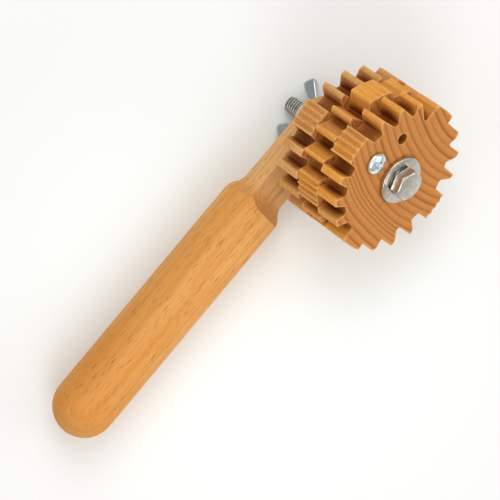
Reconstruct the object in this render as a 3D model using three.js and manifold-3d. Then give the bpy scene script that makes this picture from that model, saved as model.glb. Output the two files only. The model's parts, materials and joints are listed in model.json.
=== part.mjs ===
// Clay texture wheel: three toothed wooden wheels, pinned together, roll on a bolt at the end of a
// turned handle. Millimetres, +Z up. The tool lies as it does when it is put down: on the bolt's tail,
// the rim of the rear wheel and the butt of the handle.
//
// The pieces are laid out along the bolt: the origin is on the axle at the front wheel's face, +Z
// points along the bolt to its head, and the handle runs to -X. The whole tool is then laid down.

import * as THREE from 'three';
import { mergeVertices } from 'three/addons/utils/BufferGeometryUtils.js';
import Module from 'manifold-3d';

const wasm = await Module();
wasm.setup();

// Clearances
const FACE_GAP = 0.3;
const THREAD_GAP = 0.32;
const BORE_GAP = 0.4;

// Toothed wheels: angles in degrees, counterclockwise from +X
const WHEEL_TIP_R = 36;
const WHEEL_THICKNESS = 12.7;
const PIN_CIRCLE_R = 20.25;
const PIN_HOLE_D = 5;
const SCREW_HOLE_ANGLE = 99.4;
const INDEX_STEP = 47.3;
const ROLLER_TURN = -0.7;
const RIDGED_TEETH = [99, 277];
const BLUNT_TEETH = [8.1, 188.2];
const RIDGED_HALF_ANGLE = 10.3;
const BLUNT_HALF_ANGLE = 10.3;
const FLANK_ANGLE = 3.2;
const FLUTE_COUNT = 4;
const FLUTE_DEPTH = 1.1;
const CREST_DROP = 0.3;
const FIN_FLANK_ANGLE = 4.6;
const FIN_TIP_ANGLE = 3.2;
const FIN_TIP_DROP = 1.8;
const NOTCH_DEPTH = 8;
const NOTCH_FILLET_R = 1.3;
const FILLET_LEAST_TURN = 25;
const FOOT_LEAST_ANGLE = 2;
const FOOT_LEAST_DEPTH = 0.3;
const BLOCK_FLANK_ANGLE = 1;
const BLOCK_TOP_ANGLE = 5.4;
const BLOCK_BACK_ANGLE = 4.4;
const NARROW_TEETH_AT = [27, 45, 63];

// The three sides of a wheel that carry fins, counted from a ridged tooth in one direction round the
// wheel: the angle that each fin slopes through and the notch at the foot of each slope. Every notch
// is a share of the full notch depth.
const FIN_SIDES = [
  { ridged: RIDGED_TEETH[0], direction: -1, slopes: [9.5, 12, 9.5], notches: [0.875, 0.925, 0.8, 0.99] },
  { ridged: RIDGED_TEETH[1], direction: -1, slopes: [9.5, 12, 12], notches: [0.975, 1, 0.76, 0.44] },
  { ridged: RIDGED_TEETH[1], direction: 1, slopes: [8.5, 13.2, 16.5], notches: [1, 0.975, 0.8, 0.4] },
];
const BLOCK_SIDE = { ridged: RIDGED_TEETH[0], direction: 1, notch: 0.75 };
const BLUNT_FLANKS = [
  { centre: BLUNT_TEETH[0], before: [1, 0.4], after: [5.7, 1] },
  { centre: BLUNT_TEETH[1], before: [2.5, 0.825], after: [1, 0.44] },
];

// Bolt, nuts and washers
const BOLT_D = 7.94;
const BOLT_TAIL = 9;
const BOLT_TIP_CHAMFER = 0.8;
const HEX_ACROSS_FLATS = 12.7;
const HEX_CHAMFER_D = 12;
const HEX_CHAMFER_ANGLE = 30;
const BOLT_HEAD_HEIGHT = 5.2;
const BOLT_HEAD_TURN = 30;
const LOCK_NUT_HEIGHT = 6.6;
const LOCK_NUT_TURN = 10;
const WASHER_BORE_GAP = 0.7;
const FRONT_WASHER_D = 22.2;
const FRONT_WASHER_THICKNESS = 2;
const SMALL_WASHER_D = 17.5;
const SMALL_WASHER_THICKNESS = 1.6;

// Wing nut
const WING_HUB_D = 13.6;
const WING_HUB_TOP_D = 11.6;
const WING_HUB_HEIGHT = 4.6;
const WING_SPREAD = 30.8;
const WING_REACH = 12.3;
const WING_WIDTH = 6.6;
const WING_ROOT_WIDTH = 5.2;
const WING_THICKNESS = 3.4;
const WING_CORNER_R = 2;
const WING_LEAN = 50;
const WING_TURN = 12;

// Lock screw
const SCREW_GAP = 0.4;
const SCREW_HEAD_D = 10;
const SCREW_HEAD_HEIGHT = 2.7;
const SCREW_RIM_HEIGHT = 0.7;
const SCREW_BITE = 9;
const SCREW_POINT_LENGTH = 3;

// Handle
const GRIP_D = 28.7;
const HANDLE_LENGTH = 189;
const NECK_WIDTH = 21.2;
const NECK_THICKNESS = 10;
const NECK_END = 11.5;
const NECK_START = 38.8;
const SIDE_COVE_R = 12;
const FLAT_COVE_R = 9.6;

// Facets and cutting room
const ROUND_SEGMENTS = 48;
const SMALL_ROUND_SEGMENTS = 32;
const ARC_SEGMENTS = 6;
const FILLET_SEGMENTS = 4;
const CUT_MARGIN = 1;
const POSE_STEPS = 12;

const WHEEL_WOOD = { color: 0xc4834a, roughness: 0.65, metalness: 0 };
const HANDLE_WOOD = { color: 0xd6a166, roughness: 0.6, metalness: 0 };
const STEEL = { color: 0xa8a49c, roughness: 0.35, metalness: 1 };
const ZINC = { color: 0xb4bcc0, roughness: 0.25, metalness: 1 };

const radians = THREE.MathUtils.degToRad;

// Places along the bolt, from its head to its tail
const wheelStep = WHEEL_THICKNESS + FACE_GAP;
const headUnderside = FACE_GAP + FRONT_WASHER_THICKNESS + FACE_GAP;
const rearWheelBack = -2 * wheelStep - WHEEL_THICKNESS;
const innerWasherBack = rearWheelBack - FACE_GAP - SMALL_WASHER_THICKNESS;
const lockNutBack = innerWasherBack - FACE_GAP - LOCK_NUT_HEIGHT;
const neckFront = lockNutBack - FACE_GAP;
const neckBack = neckFront - NECK_THICKNESS;
const outerWasherBack = neckBack - FACE_GAP - SMALL_WASHER_THICKNESS;
const wingNutBase = outerWasherBack - FACE_GAP;
const boltTail = wingNutBase - WING_HUB_HEIGHT - BOLT_TAIL;

/** A point on the wheel's face. */
function polar(angle, radius) {
  return new THREE.Vector2(radius * Math.cos(radians(angle)), radius * Math.sin(radians(angle)));
}

/** The closed body of a geometry, ready to be joined or cut. */
function solid(geometry) {
  const bare = geometry.clone();
  bare.deleteAttribute('normal');
  bare.deleteAttribute('uv');
  const merged = mergeVertices(bare, 1e-4);
  const corners = merged.index.array;
  const faces = [];
  for (let i = 0; i < corners.length; i += 3) {
    const face = [corners[i], corners[i + 1], corners[i + 2]];
    if (new Set(face).size === 3) faces.push(...face);
  }
  return new wasm.Manifold(new wasm.Mesh({
    numProp: 3,
    vertProperties: new Float32Array(merged.attributes.position.array),
    triVerts: new Uint32Array(faces),
  }));
}

/** The geometry of a body that was joined or cut. */
function geometryOf(body) {
  const { vertProperties, triVerts } = body.getMesh();
  const geometry = new THREE.BufferGeometry();
  geometry.setAttribute('position', new THREE.BufferAttribute(vertProperties, 3));
  geometry.setIndex(new THREE.BufferAttribute(triVerts, 1));
  const flat = geometry.toNonIndexed();
  flat.computeVertexNormals();
  return flat;
}

/** A named mesh with a material of its own. */
function piece(name, geometry, finish) {
  const mesh = new THREE.Mesh(geometry, new THREE.MeshStandardMaterial(finish));
  mesh.name = name;
  return mesh;
}

/** A body turned about Z. The profile's [radius, height] points go up from the axis to the axis. */
function turned(profile, segments = ROUND_SEGMENTS) {
  const points = profile.map(([radius, height]) => new THREE.Vector2(radius, height));
  return new THREE.LatheGeometry(points, segments).rotateX(Math.PI / 2);
}

/** An outline raised from z = 0 to the height. */
function raised(shape, height, curveSegments = ROUND_SEGMENTS / 2) {
  return new THREE.ExtrudeGeometry(shape, { depth: height, bevelEnabled: false, curveSegments });
}

/** A round hole in an outline. */
function hole(diameter, centre = new THREE.Vector2()) {
  return new THREE.Path().absarc(centre.x, centre.y, diameter / 2, 0, 2 * Math.PI, true);
}

/** A flat ring that stands on z = 0. */
function ring(outerD, boreD, height) {
  const shape = new THREE.Shape().absarc(0, 0, outerD / 2, 0, 2 * Math.PI);
  shape.holes.push(hole(boreD));
  return raised(shape, height);
}

/** A round cutter along Z that runs past both heights. */
function drill(diameter, low, high) {
  const length = high - low + 2 * CUT_MARGIN;
  const cutter = new THREE.CylinderGeometry(diameter / 2, diameter / 2, length, ROUND_SEGMENTS);
  return solid(cutter.rotateX(Math.PI / 2).translate(0, 0, (low + high) / 2));
}

/** The radius at the foot of a notch. */
function notchR(share) {
  return WHEEL_TIP_R - share * NOTCH_DEPTH;
}

/** Joins the feet of two flanks into one corner where they nearly meet at the bottom of a notch. */
function meetingFeet(points) {
  const joined = [];
  for (const [angle, radius] of points) {
    const last = joined.at(-1);
    const near = last && angle - last[0] < FOOT_LEAST_ANGLE;
    if (near && Math.max(radius, last[1]) < notchR(FOOT_LEAST_DEPTH)) {
      joined[joined.length - 1] = [(angle + last[0]) / 2, (radius + last[1]) / 2];
    } else {
      joined.push([angle, radius]);
    }
  }
  return joined;
}

/**
 * An outline, counterclockwise, whose inner corners are rounded. A fillet is limited to half of the
 * shorter edge beside it.
 */
function filleted(corners, radius) {
  return corners.flatMap((corner, i) => {
    const before = corners.at(i - 1).clone().sub(corner);
    const after = corners[(i + 1) % corners.length].clone().sub(corner);
    const turn = Math.PI - before.angleTo(after);
    if (before.cross(after) < 0 || turn < radians(FILLET_LEAST_TURN)) return [corner];
    const most = Math.min(before.length(), after.length()) / 2;
    const reach = Math.min(radius * Math.tan(turn / 2), most);
    const start = corner.clone().add(before.setLength(reach));
    const end = corner.clone().add(after.setLength(reach));
    return new THREE.QuadraticBezierCurve(start, corner, end).getPoints(FILLET_SEGMENTS);
  });
}

/** A fin: a steep flank towards the ridged tooth, a blunted tip, and a long slope away from it. */
function finPoints(tip, direction, slope, frontNotch, backNotch) {
  return [
    [tip - direction * FIN_FLANK_ANGLE, notchR(frontNotch)],
    [tip - direction * FIN_TIP_ANGLE, WHEEL_TIP_R - FIN_TIP_DROP],
    [tip, WHEEL_TIP_R],
    [tip + direction * slope, notchR(backNotch)],
  ];
}

/** A block: a narrow tooth with a flat top and steep sides. */
function blockPoints(tip, notch) {
  const start = tip - BLOCK_TOP_ANGLE;
  return [
    [start - BLOCK_FLANK_ANGLE, notchR(notch)],
    [start, WHEEL_TIP_R - CREST_DROP],
    [tip, WHEEL_TIP_R],
    [tip + BLOCK_BACK_ANGLE, notchR(notch)],
  ];
}

/** A ridged tooth: round flutes between sharp crests across a wide top. */
function ridgedPoints(centre, notchBefore, notchAfter) {
  const points = [[centre - RIDGED_HALF_ANGLE - FLANK_ANGLE, notchR(notchBefore)]];
  const steps = FLUTE_COUNT * ARC_SEGMENTS;
  for (let i = 0; i <= steps; i += 1) {
    const along = (i % ARC_SEGMENTS) / ARC_SEGMENTS;
    const flute = FLUTE_DEPTH * Math.sin(Math.PI * along);
    points.push([centre + RIDGED_HALF_ANGLE * (2 * i / steps - 1), WHEEL_TIP_R - CREST_DROP - flute]);
  }
  points.push([centre + RIDGED_HALF_ANGLE + FLANK_ANGLE, notchR(notchAfter)]);
  return points;
}

/** A blunt tooth: a wide round top. Each flank is [angle it leans through, its notch]. */
function bluntPoints({ centre, before, after }) {
  const points = [[centre - BLUNT_HALF_ANGLE - before[0], notchR(before[1])]];
  for (let i = 0; i <= ARC_SEGMENTS; i += 1) {
    points.push([centre + BLUNT_HALF_ANGLE * (2 * i / ARC_SEGMENTS - 1), WHEEL_TIP_R]);
  }
  points.push([centre + BLUNT_HALF_ANGLE + after[0], notchR(after[1])]);
  return points;
}

/** The wheel's outline: four wide teeth, and three narrow ones between each pair of them. */
function wheelShape() {
  const points = BLUNT_FLANKS.flatMap(bluntPoints);
  for (const { ridged, direction, slopes, notches } of FIN_SIDES) {
    slopes.forEach((slope, i) => {
      const tip = ridged + direction * NARROW_TEETH_AT[i];
      points.push(...finPoints(tip, direction, slope, notches[i], notches[i + 1]));
    });
  }
  for (const at of NARROW_TEETH_AT) {
    points.push(...blockPoints(BLOCK_SIDE.ridged + BLOCK_SIDE.direction * at, BLOCK_SIDE.notch));
  }
  points.push(...ridgedPoints(RIDGED_TEETH[0], FIN_SIDES[0].notches[0], BLOCK_SIDE.notch));
  points.push(...ridgedPoints(RIDGED_TEETH[1], FIN_SIDES[1].notches[0], FIN_SIDES[2].notches[0]));
  points.sort(([a], [b]) => a - b);
  const corners = meetingFeet(points).map(([angle, radius]) => polar(angle, radius));
  return new THREE.Shape(filleted(corners, NOTCH_FILLET_R));
}

/** One toothed wheel, with its bore and two index holes. Its front face is at z = 0. */
function wheel() {
  const shape = wheelShape();
  shape.holes.push(hole(BOLT_D + 2 * BORE_GAP));
  for (const angle of [SCREW_HOLE_ANGLE, SCREW_HOLE_ANGLE - INDEX_STEP]) {
    shape.holes.push(hole(PIN_HOLE_D, polar(angle, PIN_CIRCLE_R)));
  }
  return raised(shape, WHEEL_THICKNESS, SMALL_ROUND_SEGMENTS / 2).translate(0, 0, -WHEEL_THICKNESS);
}

/** A hexagon on z = 0 with its top corners chamfered, and its bottom ones where both ends are. */
function hexBody(height, turn, bothEnds) {
  const cornerR = HEX_ACROSS_FLATS / 2 / Math.cos(Math.PI / 6);
  const corners = [0, 1, 2, 3, 4, 5].map((i) => polar(turn + 60 * i, cornerR));
  const chamferR = HEX_CHAMFER_D / 2;
  const outerR = cornerR + CUT_MARGIN;
  const drop = (outerR - chamferR) * Math.tan(radians(HEX_CHAMFER_ANGLE));
  const foot = bothEnds ? [[0, 0], [chamferR, 0], [outerR, drop]] : [[0, 0], [outerR, 0]];
  const rounded = turned([...foot, [outerR, height - drop], [chamferR, height], [0, height]]);
  return solid(raised(new THREE.Shape(corners), height)).intersect(solid(rounded));
}

/** The bolt, which is the wheels' axle: a hex head over a plain shank. */
function axleBolt() {
  const shankR = BOLT_D / 2;
  const buried = headUnderside + BOLT_HEAD_HEIGHT / 2;
  const shank = turned([
    [0, boltTail],
    [shankR - BOLT_TIP_CHAMFER, boltTail],
    [shankR, boltTail + BOLT_TIP_CHAMFER],
    [shankR, buried],
    [0, buried],
  ]);
  const head = hexBody(BOLT_HEAD_HEIGHT, BOLT_HEAD_TURN, false).translate(0, 0, headUnderside);
  return geometryOf(head.add(solid(shank)));
}

/** The hex nut between the wheels and the neck. */
function lockNut() {
  const bore = drill(BOLT_D + 2 * THREAD_GAP, 0, LOCK_NUT_HEIGHT);
  return geometryOf(hexBody(LOCK_NUT_HEIGHT, LOCK_NUT_TURN, true).subtract(bore));
}

/** One ear of the wing nut: a flat strip that leans out from the hub's wall, on the +X side. */
function wingEar() {
  const lean = radians(WING_LEAN);
  const side = WING_WIDTH / 2 - WING_CORNER_R;
  const rootR = (BOLT_D / 2 + THREAD_GAP + WING_HUB_D / 2) / 2;
  const cornerR = WING_SPREAD / 2 - WING_CORNER_R - side * Math.sin(lean);
  const cornerAt = (cornerR - rootR) / Math.cos(lean);
  const cornerHeight = WING_REACH - WING_CORNER_R - side * Math.cos(lean);
  const strip = new THREE.Shape();
  strip.moveTo(0, -WING_ROOT_WIDTH / 2);
  strip.absarc(cornerAt, -side, WING_CORNER_R, -Math.PI / 2, 0);
  strip.absarc(cornerAt, side, WING_CORNER_R, 0, Math.PI / 2);
  strip.lineTo(0, WING_ROOT_WIDTH / 2);
  return raised(strip, WING_THICKNESS, ARC_SEGMENTS / 2)
    .rotateZ(lean)
    .translate(rootR, cornerHeight - cornerAt * Math.sin(lean), 0)
    .rotateX(Math.PI / 2)
    .translate(0, WING_THICKNESS / 2, 0);
}

/** The wing nut, which stands on z = 0 with both ears leaning out and up. */
function wingNut() {
  const hub = solid(turned([
    [0, 0],
    [WING_HUB_D / 2, 0],
    [WING_HUB_TOP_D / 2, WING_HUB_HEIGHT],
    [0, WING_HUB_HEIGHT],
  ]));
  const ears = solid(wingEar()).add(solid(wingEar().rotateZ(Math.PI)));
  const room = solid(ring(WING_SPREAD + 2 * CUT_MARGIN, BOLT_D, WING_REACH + CUT_MARGIN));
  const bore = drill(BOLT_D + 2 * THREAD_GAP, 0, WING_REACH);
  return geometryOf(hub.add(ears.intersect(room)).subtract(bore));
}

/** The screw that pins the wheels together. Its head's underside is at z = 0. */
function lockScrew() {
  const shankR = PIN_HOLE_D / 2 - SCREW_GAP;
  const headR = SCREW_HEAD_D / 2;
  const length = 2 * wheelStep + FACE_GAP + SCREW_BITE;
  const profile = [[0, -length], [shankR, SCREW_POINT_LENGTH - length], [shankR, 0], [headR, 0]];
  for (let i = 0; i < ARC_SEGMENTS; i += 1) {
    const lift = (Math.PI / 2) * (i / ARC_SEGMENTS);
    const dome = (SCREW_HEAD_HEIGHT - SCREW_RIM_HEIGHT) * Math.sin(lift);
    profile.push([headR * Math.cos(lift), SCREW_RIM_HEIGHT + dome]);
  }
  profile.push([0, SCREW_HEAD_HEIGHT]);
  return turned(profile, SMALL_ROUND_SEGMENTS);
}

/** The neck seen square on, with a cove on each side. The grip's part is drawn wider than the grip. */
function neckShape(width, coveR, endR) {
  const half = width / 2;
  const butt = NECK_END - HANDLE_LENGTH - CUT_MARGIN;
  const wide = Math.max(GRIP_D / 2, half + coveR) + CUT_MARGIN;
  const shape = new THREE.Shape();
  shape.moveTo(butt, -wide);
  shape.lineTo(-NECK_START - coveR, -wide);
  shape.absarc(-NECK_START, -half - coveR, coveR, Math.PI, Math.PI / 2, true);
  shape.absarc(NECK_END - endR, endR - half, endR, -Math.PI / 2, 0);
  shape.absarc(NECK_END - endR, half - endR, endR, 0, Math.PI / 2);
  shape.absarc(-NECK_START, half + coveR, coveR, -Math.PI / 2, -Math.PI, true);
  shape.lineTo(-NECK_START - coveR, wide);
  shape.lineTo(butt, wide);
  return shape;
}

/** The handle along X, centred on z = 0: a round grip cut from two sides to the flat neck. */
function handle() {
  const gripR = GRIP_D / 2;
  const butt = NECK_END - HANDLE_LENGTH;
  const profile = [];
  for (let i = 0; i <= 2 * ARC_SEGMENTS; i += 1) {
    const angle = (Math.PI / 2) * (i / (2 * ARC_SEGMENTS));
    profile.push([gripR * Math.sin(angle), butt + gripR * (1 - Math.cos(angle))]);
  }
  profile.push([gripR, NECK_END], [0, NECK_END]);
  const round = solid(turned(profile).rotateY(Math.PI / 2));
  const span = 2 * (gripR + CUT_MARGIN);
  const sides = solid(raised(neckShape(NECK_WIDTH, SIDE_COVE_R, NECK_WIDTH / 2), span, ARC_SEGMENTS));
  const flats = raised(neckShape(NECK_THICKNESS, FLAT_COVE_R, FACE_GAP), span, ARC_SEGMENTS)
    .rotateX(Math.PI / 2)
    .translate(0, span / 2, 0);
  const neck = sides.translate(0, 0, -span / 2).intersect(solid(flats));
  const bore = drill(BOLT_D + 2 * BORE_GAP, -NECK_THICKNESS / 2, NECK_THICKNESS / 2);
  return geometryOf(round.intersect(neck).subtract(bore));
}

/** The three wheels and their lock screw, which turn as one. */
function roller() {
  const group = new THREE.Group();
  const turns = { front_gear: 0, middle_gear: INDEX_STEP, rear_gear: 0 };
  Object.entries(turns).forEach(([name, turn], i) => {
    const mesh = piece(name, wheel(), WHEEL_WOOD);
    mesh.position.z = -i * wheelStep;
    mesh.rotation.z = radians(turn);
    group.add(mesh);
  });
  const screw = piece('lock_screw', lockScrew(), ZINC);
  const place = polar(SCREW_HOLE_ANGLE, PIN_CIRCLE_R);
  screw.position.set(place.x, place.y, FACE_GAP);
  group.add(screw);
  group.rotation.z = radians(ROLLER_TURN);
  return group;
}

/** The whole tool along its bolt. */
function tool() {
  const washerBoreD = BOLT_D + 2 * WASHER_BORE_GAP;
  const group = new THREE.Group();
  group.add(roller(), piece('axle_bolt', axleBolt(), STEEL));

  const grip = piece('handle', handle(), HANDLE_WOOD);
  grip.position.z = (neckFront + neckBack) / 2;

  const frontWasher = piece('front_washer', ring(FRONT_WASHER_D, washerBoreD, FRONT_WASHER_THICKNESS), STEEL);
  frontWasher.position.z = FACE_GAP;

  const innerWasher = piece('inner_washer', ring(SMALL_WASHER_D, washerBoreD, SMALL_WASHER_THICKNESS), ZINC);
  innerWasher.position.z = innerWasherBack;

  const nut = piece('lock_nut', lockNut(), ZINC);
  nut.position.z = lockNutBack;

  const outerWasher = piece('outer_washer', ring(SMALL_WASHER_D, washerBoreD, SMALL_WASHER_THICKNESS), ZINC);
  outerWasher.position.z = outerWasherBack;

  const wing = piece('wing_nut', wingNut(), ZINC);
  wing.position.z = wingNutBase;
  wing.rotation.set(Math.PI, 0, radians(-WING_TURN));

  group.add(grip, frontWasher, innerWasher, nut, outerWasher, wing);
  return group;
}

/** The point of a mesh that lies lowest when `up` is the way up. */
function lowestPoint(mesh, up) {
  const { position } = mesh.geometry.attributes;
  const lowest = new THREE.Vector3();
  const point = new THREE.Vector3();
  let height = Infinity;
  for (let i = 0; i < position.count; i += 1) {
    point.fromBufferAttribute(position, i).applyMatrix4(mesh.matrixWorld);
    if (point.dot(up) < height) {
      height = point.dot(up);
      lowest.copy(point);
    }
  }
  return lowest;
}

/** The way up, along the tool's own axes, when it stands on three of its pieces. */
function restingUp(group, names) {
  group.updateMatrixWorld(true);
  const feet = names.map((name) => group.getObjectByName(name));
  const up = new THREE.Vector3(0, 1, 1).normalize();
  for (let step = 0; step < POSE_STEPS; step += 1) {
    const [a, b, c] = feet.map((foot) => lowestPoint(foot, up));
    const normal = b.sub(a).cross(c.sub(a)).normalize();
    up.copy(normal.multiplyScalar(Math.sign(normal.dot(up))));
  }
  return up;
}

const assembly = tool();
const up = restingUp(assembly, ['axle_bolt', 'rear_gear', 'handle']);
const forward = new THREE.Vector3(1, 0, 0).projectOnPlane(up).normalize();
const across = new THREE.Vector3().crossVectors(up, forward);
const group = new THREE.Group();
group.add(assembly);
assembly.quaternion.setFromRotationMatrix(new THREE.Matrix4().makeBasis(forward, across, up).transpose());
const box = new THREE.Box3().setFromObject(group, true);
const middle = box.getCenter(new THREE.Vector3());
assembly.position.set(-middle.x, -middle.y, -box.min.z);

export default group;
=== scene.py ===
"""Looks of the clay texture wheel: three toothed wooden wheels on a bolt, with a turned handle.

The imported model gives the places. Every piece is modelled in millimetres in the tool's own frame,
whose z axis is the axle's, towards the bolt's head, and whose x axis points from the grip to the
axle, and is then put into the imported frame.
"""

from __future__ import annotations

import json
import logging
import math
from dataclasses import dataclass, field
from enum import Enum

import bmesh
import bpy
from mathutils import Euler, Matrix, Vector

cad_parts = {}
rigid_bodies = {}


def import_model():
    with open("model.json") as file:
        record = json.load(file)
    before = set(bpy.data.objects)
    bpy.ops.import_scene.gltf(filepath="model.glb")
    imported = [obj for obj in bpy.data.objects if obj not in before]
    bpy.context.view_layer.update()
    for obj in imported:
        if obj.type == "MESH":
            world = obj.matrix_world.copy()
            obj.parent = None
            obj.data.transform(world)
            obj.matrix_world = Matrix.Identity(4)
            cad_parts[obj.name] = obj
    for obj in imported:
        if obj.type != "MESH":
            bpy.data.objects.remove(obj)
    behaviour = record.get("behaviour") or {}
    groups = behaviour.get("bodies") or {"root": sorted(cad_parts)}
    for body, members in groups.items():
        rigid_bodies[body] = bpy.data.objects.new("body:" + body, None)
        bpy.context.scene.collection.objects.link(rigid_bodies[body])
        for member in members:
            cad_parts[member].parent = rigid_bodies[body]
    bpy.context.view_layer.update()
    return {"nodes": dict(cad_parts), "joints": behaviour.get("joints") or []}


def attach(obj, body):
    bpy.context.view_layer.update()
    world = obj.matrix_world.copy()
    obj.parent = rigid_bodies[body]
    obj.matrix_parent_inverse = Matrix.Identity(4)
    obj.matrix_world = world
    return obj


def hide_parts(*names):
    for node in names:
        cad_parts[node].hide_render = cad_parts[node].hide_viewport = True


LOG = logging.getLogger("texture_wheel")
MM = 0.001

# Steps of a full turn
FINE = 96
USUAL = 64
COARSE = 24

# Corners closer than this, in millimetres, become one
MERGE_GAP = 0.002

Colour = tuple[float, float, float]
Outline = list[tuple[float, float]]
Solid = bmesh.types.BMesh
Socket = bpy.types.NodeSocket


class Body(str, Enum):
    """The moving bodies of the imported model."""

    FRAME = "frame"
    ROLLER = "roller"
    SCREW = "screw"
    CLAMP_WASHER = "clamp_washer"
    WING = "wing"


class Slot(str, Enum):
    """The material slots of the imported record."""

    HANDLE_WOOD = "handle_wood"
    WHEEL_WOOD = "wheel_wood"
    STEEL = "steel"
    ZINC = "zinc"


class Carving(str, Enum):
    """What a cutter does to a solid."""

    JOIN = "UNION"
    CUT = "DIFFERENCE"
    KEEP = "INTERSECT"


def shade(hex_code: str) -> Colour:
    """Gives the linear colour of a six digit sRGB code."""
    parts = [int(hex_code[i : i + 2], 16) / 255 for i in (0, 2, 4)]
    return tuple(c / 12.92 if c <= 0.04045 else ((c + 0.055) / 1.055) ** 2.4 for c in parts)


# The tool's frame


@dataclass
class ToolFrame:
    """The tool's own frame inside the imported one, read from the roller's joint.

    Args:
        axis: The axle's direction, towards the bolt's head.
        wheels_centre: The middle of the three wheels on the axle, in metres.
        wheels_middle: The height of that point in the tool's frame, in millimetres.
    """

    axis: Vector
    wheels_centre: Vector
    wheels_middle: float = -19.35

    @classmethod
    def from_joints(cls, joints: list[dict]) -> ToolFrame:
        """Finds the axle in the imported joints.

        Args:
            joints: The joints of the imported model.

        Returns:
            The frame along the axle.
        """
        spin = next(joint for joint in joints if joint["name"] == "roller_spin")
        return cls(Vector(spin["axis"]).normalized(), Vector(spin["pos_m"]))

    @property
    def turn(self) -> Matrix:
        """The rotation from the tool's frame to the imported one."""
        along = Vector((0, 1, 0)).cross(self.axis).normalized()
        return Matrix((along, self.axis.cross(along), self.axis)).transposed()

    @property
    def place(self) -> Matrix:
        """The transform from millimetres in the tool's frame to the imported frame."""
        origin = self.wheels_centre - self.axis * self.wheels_middle * MM
        return Matrix.Translation(origin) @ self.turn.to_4x4() @ Matrix.Scale(MM, 4)

    def point(self, x: float, y: float, z: float) -> Vector:
        """Puts a point of the tool's frame, in millimetres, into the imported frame."""
        return self.place @ Vector((x, y, z))


# Mesh work


def rotate(bm: Solid, degrees: float, axis: str) -> None:
    """Turns a solid about an axis through the origin."""
    swing = Matrix.Rotation(math.radians(degrees), 3, axis)
    bmesh.ops.rotate(bm, verts=bm.verts, cent=(0, 0, 0), matrix=swing)


def move(bm: Solid, way: tuple[float, float, float]) -> None:
    """Moves a solid by a distance along each axis."""
    bmesh.ops.translate(bm, vec=way, verts=bm.verts)


def quarter(steps: int) -> list[float]:
    """Gives the angles of a quarter turn in equal steps."""
    return [math.pi / 2 * step / steps for step in range(steps + 1)]


def swept(outline: Outline, steps: int, turns: int = 1, pitch: float = 0, closed: bool = False) -> Solid:
    """Sweeps an outline about the z axis.

    Args:
        outline: Radius and height of each corner.
        steps: Steps of one turn.
        turns: Number of turns.
        pitch: Height that a turn gains, or 0 for a surface that meets its own start.
        closed: True for a ring, whose outline is a loop.

    Returns:
        The swept surface.
    """
    bm = bmesh.new()
    corners = [bm.verts.new((radius, 0, height)) for radius, height in outline]
    ends = corners[1:] + corners[:1] if closed else corners[1:]
    edges = [bm.edges.new(pair) for pair in zip(corners, ends)]
    bmesh.ops.spin(
        bm,
        geom=corners + edges,
        cent=(0, 0, 0),
        axis=(0, 0, 1),
        dvec=(0, 0, pitch / steps),
        angle=math.tau * turns,
        steps=steps * turns,
        use_merge=pitch == 0,
        use_duplicate=False,
    )
    return bm


def lathe(outline: Outline, segments: int = USUAL, closed: bool = False) -> Solid:
    """Turns an outline about the z axis.

    Args:
        outline: Radius and height of each corner.
        segments: Steps of the full turn.
        closed: True for a ring, whose outline is a loop.

    Returns:
        The turned solid.
    """
    bm = swept(outline, segments, closed=closed)
    bmesh.ops.remove_doubles(bm, verts=bm.verts, dist=MERGE_GAP)
    bmesh.ops.recalc_face_normals(bm, faces=bm.faces)
    return bm


def cylinder(radius: float, low: float, high: float, segments: int = USUAL) -> Solid:
    """Makes a plain cylinder about the z axis between two heights."""
    return lathe([(0, low), (radius, low), (radius, high), (0, high)], segments)


def thread(major: float, minor: float, pitch: float, low: float, high: float) -> Solid:
    """Winds a threaded rod as one closed solid.

    Args:
        major: Diameter over the crests.
        minor: Diameter at the roots.
        pitch: Height of one turn.
        low: Height of the lower end.
        high: Height of the upper end.

    Returns:
        The threaded rod about the z axis.
    """
    root, crest = minor / 2, major / 2
    rungs = [(root, 0), (root, 0.14), (crest, 0.46), (crest, 0.68), (root, 1)]
    outline = [(radius, low + (lift - 1) * pitch) for radius, lift in rungs]
    bm = swept(outline, 28, math.ceil((high - low) / pitch) + 2, pitch)
    bmesh.ops.remove_doubles(bm, verts=bm.verts, dist=0.01)
    for height, side in ((low, -1), (high, 1)):
        geometry = bm.verts[:] + bm.edges[:] + bm.faces[:]
        bmesh.ops.bisect_plane(
            bm, geom=geometry, dist=0.001, plane_co=(0, 0, height), plane_no=(0, 0, side), clear_outer=True
        )
    rims = [edge for edge in bm.edges if edge.is_boundary]
    bmesh.ops.holes_fill(bm, edges=rims, sides=0)
    bmesh.ops.recalc_face_normals(bm, faces=bm.faces)
    return bm


def prism(sides: int, across_flats: float, low: float, high: float, turn: float) -> Solid:
    """Makes an upright prism about the z axis.

    Args:
        sides: Number of flats.
        across_flats: Distance between opposite flats.
        low: Height of the lower face.
        high: Height of the upper face.
        turn: Angle of a corner from the x axis, in degrees.

    Returns:
        The prism.
    """
    bm = bmesh.new()
    corner = across_flats / 2 / math.cos(math.pi / sides)
    made = bmesh.ops.create_cone(
        bm,
        cap_ends=True,
        cap_tris=False,
        segments=sides,
        radius1=corner,
        radius2=corner,
        depth=high - low,
        matrix=Matrix.Translation((0, 0, (low + high) / 2)),
    )
    first = made["verts"][0].co
    start = math.degrees(math.atan2(first.y, first.x))
    rotate(bm, turn - start, "Z")
    return bm


def block(size: tuple[float, float, float], centre: tuple[float, float, float]) -> Solid:
    """Makes a square block, the blank that the cutters and ears start from.

    Args:
        size: Its length along each axis.
        centre: Its middle.

    Returns:
        The block.
    """
    bm = bmesh.new()
    bmesh.ops.create_cube(bm, size=1)
    bmesh.ops.scale(bm, vec=size, verts=bm.verts)
    move(bm, centre)
    return bm


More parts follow.
